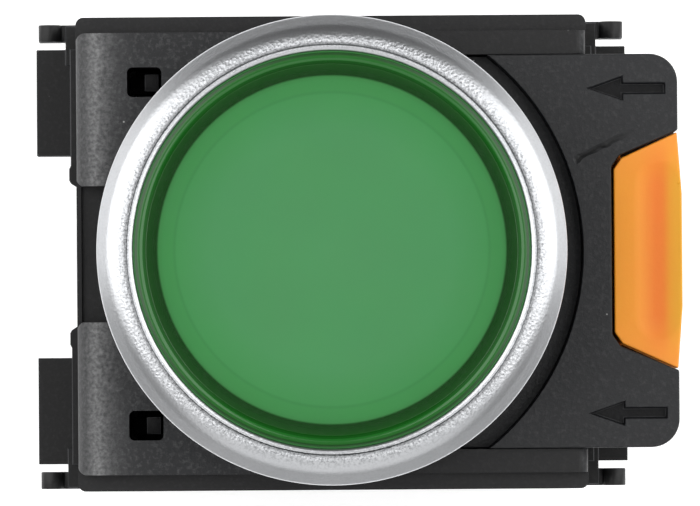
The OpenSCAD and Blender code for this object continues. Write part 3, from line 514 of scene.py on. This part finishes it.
def roundedCopy(nodeName, pieceName, body, material, edgeMaterial, width, sunk=None):
    # the CAD surface welded into whole faces, its edges rounded by a bevel whose strips take the
    # edge finish; upward faces in a sunk band (material, lowest z, highest z, least x in mm) take
    # the band's finish
    mesh = nodes[nodeName].data.copy()
    mesh.name = pieceName
    work = bmesh.new()
    work.from_mesh(mesh)
    bmesh.ops.remove_doubles(work, verts=work.verts, dist=rounding["weldWithin"])
    bmesh.ops.dissolve_limit(work, angle_limit=math.radians(rounding["flatWithin"]),
                             verts=work.verts, edges=work.edges)
    work.to_mesh(mesh)
    work.free()
    mesh.materials.clear()
    mesh.materials.append(material)
    mesh.materials.append(edgeMaterial)
    if sunk:
        sunkMaterial, lowest, highest, leastX = sunk
        mesh.materials.append(sunkMaterial)
        count = len(mesh.polygons)
        normals, centres = np.empty(count * 3), np.empty(count * 3)
        mesh.polygons.foreach_get("normal", normals)
        mesh.polygons.foreach_get("center", centres)
        normals, centres = normals.reshape(-1, 3), centres.reshape(-1, 3) / mm
        inBand = (normals[:, 2] > rounding["upward"]) & (centres[:, 0] > leastX)
        inBand &= (centres[:, 2] > lowest) & (centres[:, 2] < highest)
        mesh.polygons.foreach_set("material_index", np.where(inBand, 2, 0).astype(np.int32))
    mesh.shade_smooth()
    piece = bpy.data.objects.new(pieceName, mesh)
    bpy.context.scene.collection.objects.link(piece)
    bevel = piece.modifiers.new("roundedEdges", "BEVEL")
    bevel.width = width * mm
    bevel.segments = rounding["segments"]
    bevel.limit_method = "ANGLE"
    bevel.angle_limit = math.radians(rounding["sharpOver"])
    bevel.harden_normals = True
    # the bevel strips take the second material, on most mouldings a paler edge colour: painted
    # highlight
    bevel.material = 1
    # large faces keep their own normal right up to the rounded edges
    even = piece.modifiers.new("evenNormals", "WEIGHTED_NORMAL")
    even.weight = 100
    even.keep_sharp = True
    hand(piece, body, nodeName)


# radii, heights and widths in mm, tilt in degrees
bezel = {"outer": 14.75, "bore": 12.47, "bottom": 1.0, "top": 9.6, "crest": 12.92,
         "curveWidth": 1.25, "tilt": 42.5, "edge": 0.06, "lip": 9.42}


def makeBezel(look):
    # crown: outwards from its crest the slope grows evenly across the curve's width (height falls
    # by the integral of the tangent) and then stays constant to a small round at the side wall;
    # inside the crest come a fine groove and a thin lip that leans inwards
    outer, bore, crest = look["outer"], look["bore"], look["crest"]
    low, high, lip = look["bottom"], look["top"], look["lip"]
    tilt = math.radians(look["tilt"])
    steep = np.linspace(0, tilt, 24)
    across = look["curveWidth"] / tilt * steep
    drop = -look["curveWidth"] / tilt * np.log(np.cos(steep))
    curved = np.stack([crest + across, high - drop], axis=1)
    slope = np.linspace(0, outer - look["edge"] - curved[-1, 0], 9)[1:]
    straight = np.stack([curved[-1, 0] + slope, curved[-1, 1] - slope * math.tan(tilt)], axis=1)
    crown = np.vstack([curved, straight])[::-1]
    turn = np.linspace(0, np.pi / 2 - tilt, 6)[:-1]
    edgeRound = look["edge"] / (1 - math.sin(tilt))
    edge = np.stack([outer - edgeRound * (1 - np.cos(turn)),
                     crown[0, 1] - edgeRound * (math.cos(tilt) - np.sin(turn))], axis=1)
    inner = softCorners([
        (crest, high, 0), (crest - 0.05, high - 0.015, 0.02), (crest - 0.1, lip - 0.01, 0.04),
        (crest - 0.18, lip - 0.01, 0.03), (crest - 0.22, lip + 0.01, 0.02),
        (bore + 0.1, lip - 0.02, 0.05), (bore, lip - 0.1, 0.03), (bore, low, 0.05),
        (outer - 0.25, low, 0.1), (outer, low + 0.25, 0.1), (outer, high - 2.5, 0)], 6)[1:]
    piece = turned("bezelRing", np.vstack([edge, crown, inner]), chrome, 256)
    hand(piece, "mounted_unit", "bezel_ring")


# mm: roof is the underside of the face
lens = {"radius": 12.45, "bottom": 5.5, "top": 9.45, "roof": 7.5, "face": 8.9}


def makeLens(look):
    # skirt, chamfered edge, narrow crest that leans inwards, short step and flat sunk face
    r, low, high, face = look["radius"], look["bottom"], look["top"], look["face"]
    profile = softCorners([
        (0, look["roof"], 0), (r - 1.1, look["roof"], 0.1), (r - 1.1, low, 0.05), (r, low, 0.05),
        (r, high - 0.16, 0.03), (r - 0.12, high - 0.03, 0.04), (r - 0.42, high, 0.08),
        (r - 0.6, high - 0.07, 0.06), (r - 0.8, face, 0.03), (0, face, 0)], 8)
    inwards = np.linspace(1, 0, 12)[1:, None] * [profile[-2, 0], 0] + [0, face]
    piece = turned("lensCap", np.vstack([profile[:-1], inwards]), greenLens, 256)
    hand(piece, "button", "lens_cap")


makeBezel(bezel)
makeLens(lens)
print("head surfaces made")

coils = {
    # node: (piece, body, centre y, mean radius, wire radius, turns) in mm
    "return_spring": ("returnSpring", "mounted_unit", 0.0, 5.4, 0.35, 6),
    "make_contact_spring": ("makeContactSpring", "make_actuator", 10.0, 1.1, 0.2, 5),
    "break_contact_spring": ("breakContactSpring", "break_actuator", -10.0, 1.1, 0.2, 5),
    "make_return_spring": ("makeReturnSpring", "mounted_unit", 10.0, 1.55, 0.25, 7),
    "break_return_spring": ("breakReturnSpring", "mounted_unit", -10.0, 1.55, 0.25, 5),
}
shortened = {"return_spring": "button_press", "make_return_spring": "make_travel",
             "break_return_spring": "break_travel"}
stepsInTurn, sidesOfWire = 40, 12


def makeCoil(nodeName):
    # the wire's centre climbs evenly between two closed end turns; its round section stands on the
    # radius and the height, and shrinks to a point at both ends
    pieceName, body, y, mean, wire, turns = coils[nodeName]
    low, high = (corner[2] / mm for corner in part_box(nodeName))
    turn = np.linspace(0, turns, turns * stepsInTurn + 1)
    close = 2.2 * wire
    rise = np.interp(turn, [0, 1, turns - 1, turns],
                     [low + wire, low + wire + close, high - wire - close, high - wire])
    thick = np.full_like(turn, wire)
    thick[[0, -1]] = 0.0
    section = np.linspace(0, 2 * np.pi, sidesOfWire + 1)
    reach = mean + thick[:, None] * np.cos(section)
    around = 2 * np.pi * turn[:, None]
    points = np.stack([reach * np.cos(around), y + reach * np.sin(around),
                       rise[:, None] + thick[:, None] * np.sin(section)], axis=-1) * mm
    piece = gridPiece(pieceName, points, springSteel, closeAround=False)
    hand(piece, body, nodeName)
    if nodeName in shortened:
        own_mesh(piece)


for coil in coils:
    makeCoil(coil)
print("springs wound:", len(coils))

padBand = (blackBand, -5.0, -3.4, -17)
# arrowBand darkens the floors of the arrows and lidBand the hook tops deep in the windows: painted
# shade
arrowBand = (blackPaintedShade, -3.7, -3.5, 15)
lidBand = (blackPaintedShade, -13, 0, -17)
moulds = [
    # node, piece, body, material, edge, bevel width in mm, sunk band
    ("adapter_base", "adapterBase", "mounted_unit", blackAdapter, blackEdge, 0.2, padBand),
    ("cover_plate", "coverPlate", "mounted_unit", blackCreased, blackCreased, 0.1, arrowBand),
    ("locking_slide", "lockingSlide", "slide", orangeGrained, orangeEdge, 0.12),
    ("make_housing", "makeHousing", "mounted_unit", blackGrained, blackEdge, 0.2),
    ("break_housing", "breakHousing", "mounted_unit", blackGrained, blackEdge, 0.2),
    ("lamp_housing", "lampHousing", "mounted_unit", blackGrained, blackEdge, 0.2),
    ("make_cover", "makeCover", "mounted_unit", blackSmooth, blackSmoothEdge, 0.24, lidBand),
    ("break_cover", "breakCover", "mounted_unit", blackSmooth, blackSmoothEdge, 0.24, lidBand),
    ("lamp_cover", "lampCover", "mounted_unit", blackSmooth, blackSmoothEdge, 0.15),
    ("head_barrel", "headBarrel", "mounted_unit", blackSmooth, blackSmoothEdge, 0.12),
    ("terminal_screws", "terminalScrews", "mounted_unit", zincPlated, zincPlated, 0.12),
]
for mould in moulds:
    roundedCopy(*mould)
print("mouldings rounded:", len(moulds))

carried = {
    "panel_gasket": nitrileRubber, "wiper_seal": nitrileRubber, "diffuser": diffuserWhite,
    "lens_carrier": blackSmooth, "make_plunger": greenPlunger, "break_plunger": redPlunger,
    "make_bridge": copperStrip, "break_bridge": copperStrip, "make_moving_tips": silverTip,
    "break_moving_tips": silverTip, "fixed_tips": silverTip, "make_terminals": brassStrip,
    "break_terminals": brassStrip, "lamp_leads": brassStrip, "lamp_board": boardGreen,
    "lamp_resistor": resistorTan, "lamp_led": lampEpoxy, "terminal_cages": zincPlated,
}
for nodeName, material in carried.items():
    nodes[nodeName].data.materials.clear()
    nodes[nodeName].data.materials.append(material)
print("carried-over nodes finished:", len(carried))

# floorZ in mm, floorHalf in metres
stage = {"floorZ": -42.0, "floorHalf": 1.2, "floorColour": "#f6f6f6", "glow": 0.35}


def makeStage(look):
    half, z = look["floorHalf"], look["floorZ"] * mm
    mesh = bpy.data.meshes.new("floor")
    corners = [(-half, -half, z), (half, -half, z), (half, half, z), (-half, half, z)]
    mesh.from_pydata(corners, [], [(0, 1, 2, 3)])
    floor = bpy.data.objects.new("floor", mesh)
    bpy.context.scene.collection.objects.link(floor)
    # a back-lit card table: pale and free of hard shadows
    material, _, shader, _ = startMaterial("back-lit white card")
    shader.inputs["Base Color"].default_value = linear(look["floorColour"])
    shader.inputs["Roughness"].default_value = 0.9
    shader.inputs["Specular IOR Level"].default_value = 0.1
    shader.inputs["Emission Color"].default_value = linear("#ffffff")
    shader.inputs["Emission Strength"].default_value = look["glow"]
    mesh.materials.append(material)


# place and size in metres, power in watts; each box faces the origin
softboxes = {
    "leftBox": {"place": (-0.34, 0.1, 0.34), "size": (0.5, 0.72), "power": 2.9},
    "rightBox": {"place": (0.34, 0.1, 0.34), "size": (0.5, 0.72), "power": 2.9},
    "frontBox": {"place": (0.0, -0.42, 0.42), "size": (0.8, 0.6), "power": 1.2},
}
# room light that falls off towards the far side of the table, so the metal's far edge reads darker
room = {"near": 0.38, "far": 0.08}


def makeSoftbox(name, look):
    data = bpy.data.lights.new(name, "AREA")
    data.shape = "RECTANGLE"
    data.size, data.size_y = look["size"]
    data.energy = look["power"]
    light = bpy.data.objects.new(name, data)
    light.location = look["place"]
    light.rotation_euler = (-Vector(look["place"])).to_track_quat("-Z", "Y").to_euler()
    bpy.context.scene.collection.objects.link(light)


def makeRoom(look):
    world = bpy.data.worlds.new("studio")
    bpy.context.scene.world = world
    world.use_nodes = True
    tree = world.node_tree
    direction = addNode(tree, "TexCoord").outputs["Generated"]
    towards = addNode(tree, "SeparateXYZ", links={"Vector": direction})
    falloff = addNode(tree, "MapRange", {"From Min": -1.0, "From Max": 1.0,
                                         "To Min": look["near"], "To Max": look["far"]},
                      {"Value": towards.outputs["Y"]})
    background = tree.nodes["Background"]
    background.inputs["Color"].default_value = (1, 1, 1, 1)
    tree.links.new(falloff.outputs["Result"], background.inputs["Strength"])


makeStage(stage)
for name, look in softboxes.items():
    makeSoftbox(name, look)
makeRoom(room)

# place and target in metres, lens and sensor in mm, roll in degrees
camera = {"place": (0.0, -0.0094, 0.6396), "target": (0.00113, -0.00022, 0.0096), "lens": 518.4,
          "sensor": 36, "roll": -0.4}


def makeCamera(look):
    data = bpy.data.cameras.new("camera")
    data.lens = look["lens"]
    data.sensor_width = look["sensor"]
    data.clip_start, data.clip_end = 0.01, 10
    eye = bpy.data.objects.new("camera", data)
    eye.location = look["place"]
    # the frame's upper edge is +Y, turned by the roll
    back = (Vector(look["place"]) - Vector(look["target"])).normalized()
    roll = math.radians(look["roll"])
    side = Vector((math.cos(roll), math.sin(roll), 0))
    side = (side - back * side.dot(back)).normalized()
    eye.rotation_euler = Matrix((side, back.cross(side), back)).transposed().to_euler()
    bpy.context.scene.collection.objects.link(eye)
    bpy.context.scene.camera = eye


makeCamera(camera)
bpy.context.scene.view_settings.view_transform = "Standard"
print("stage, lights and camera made")
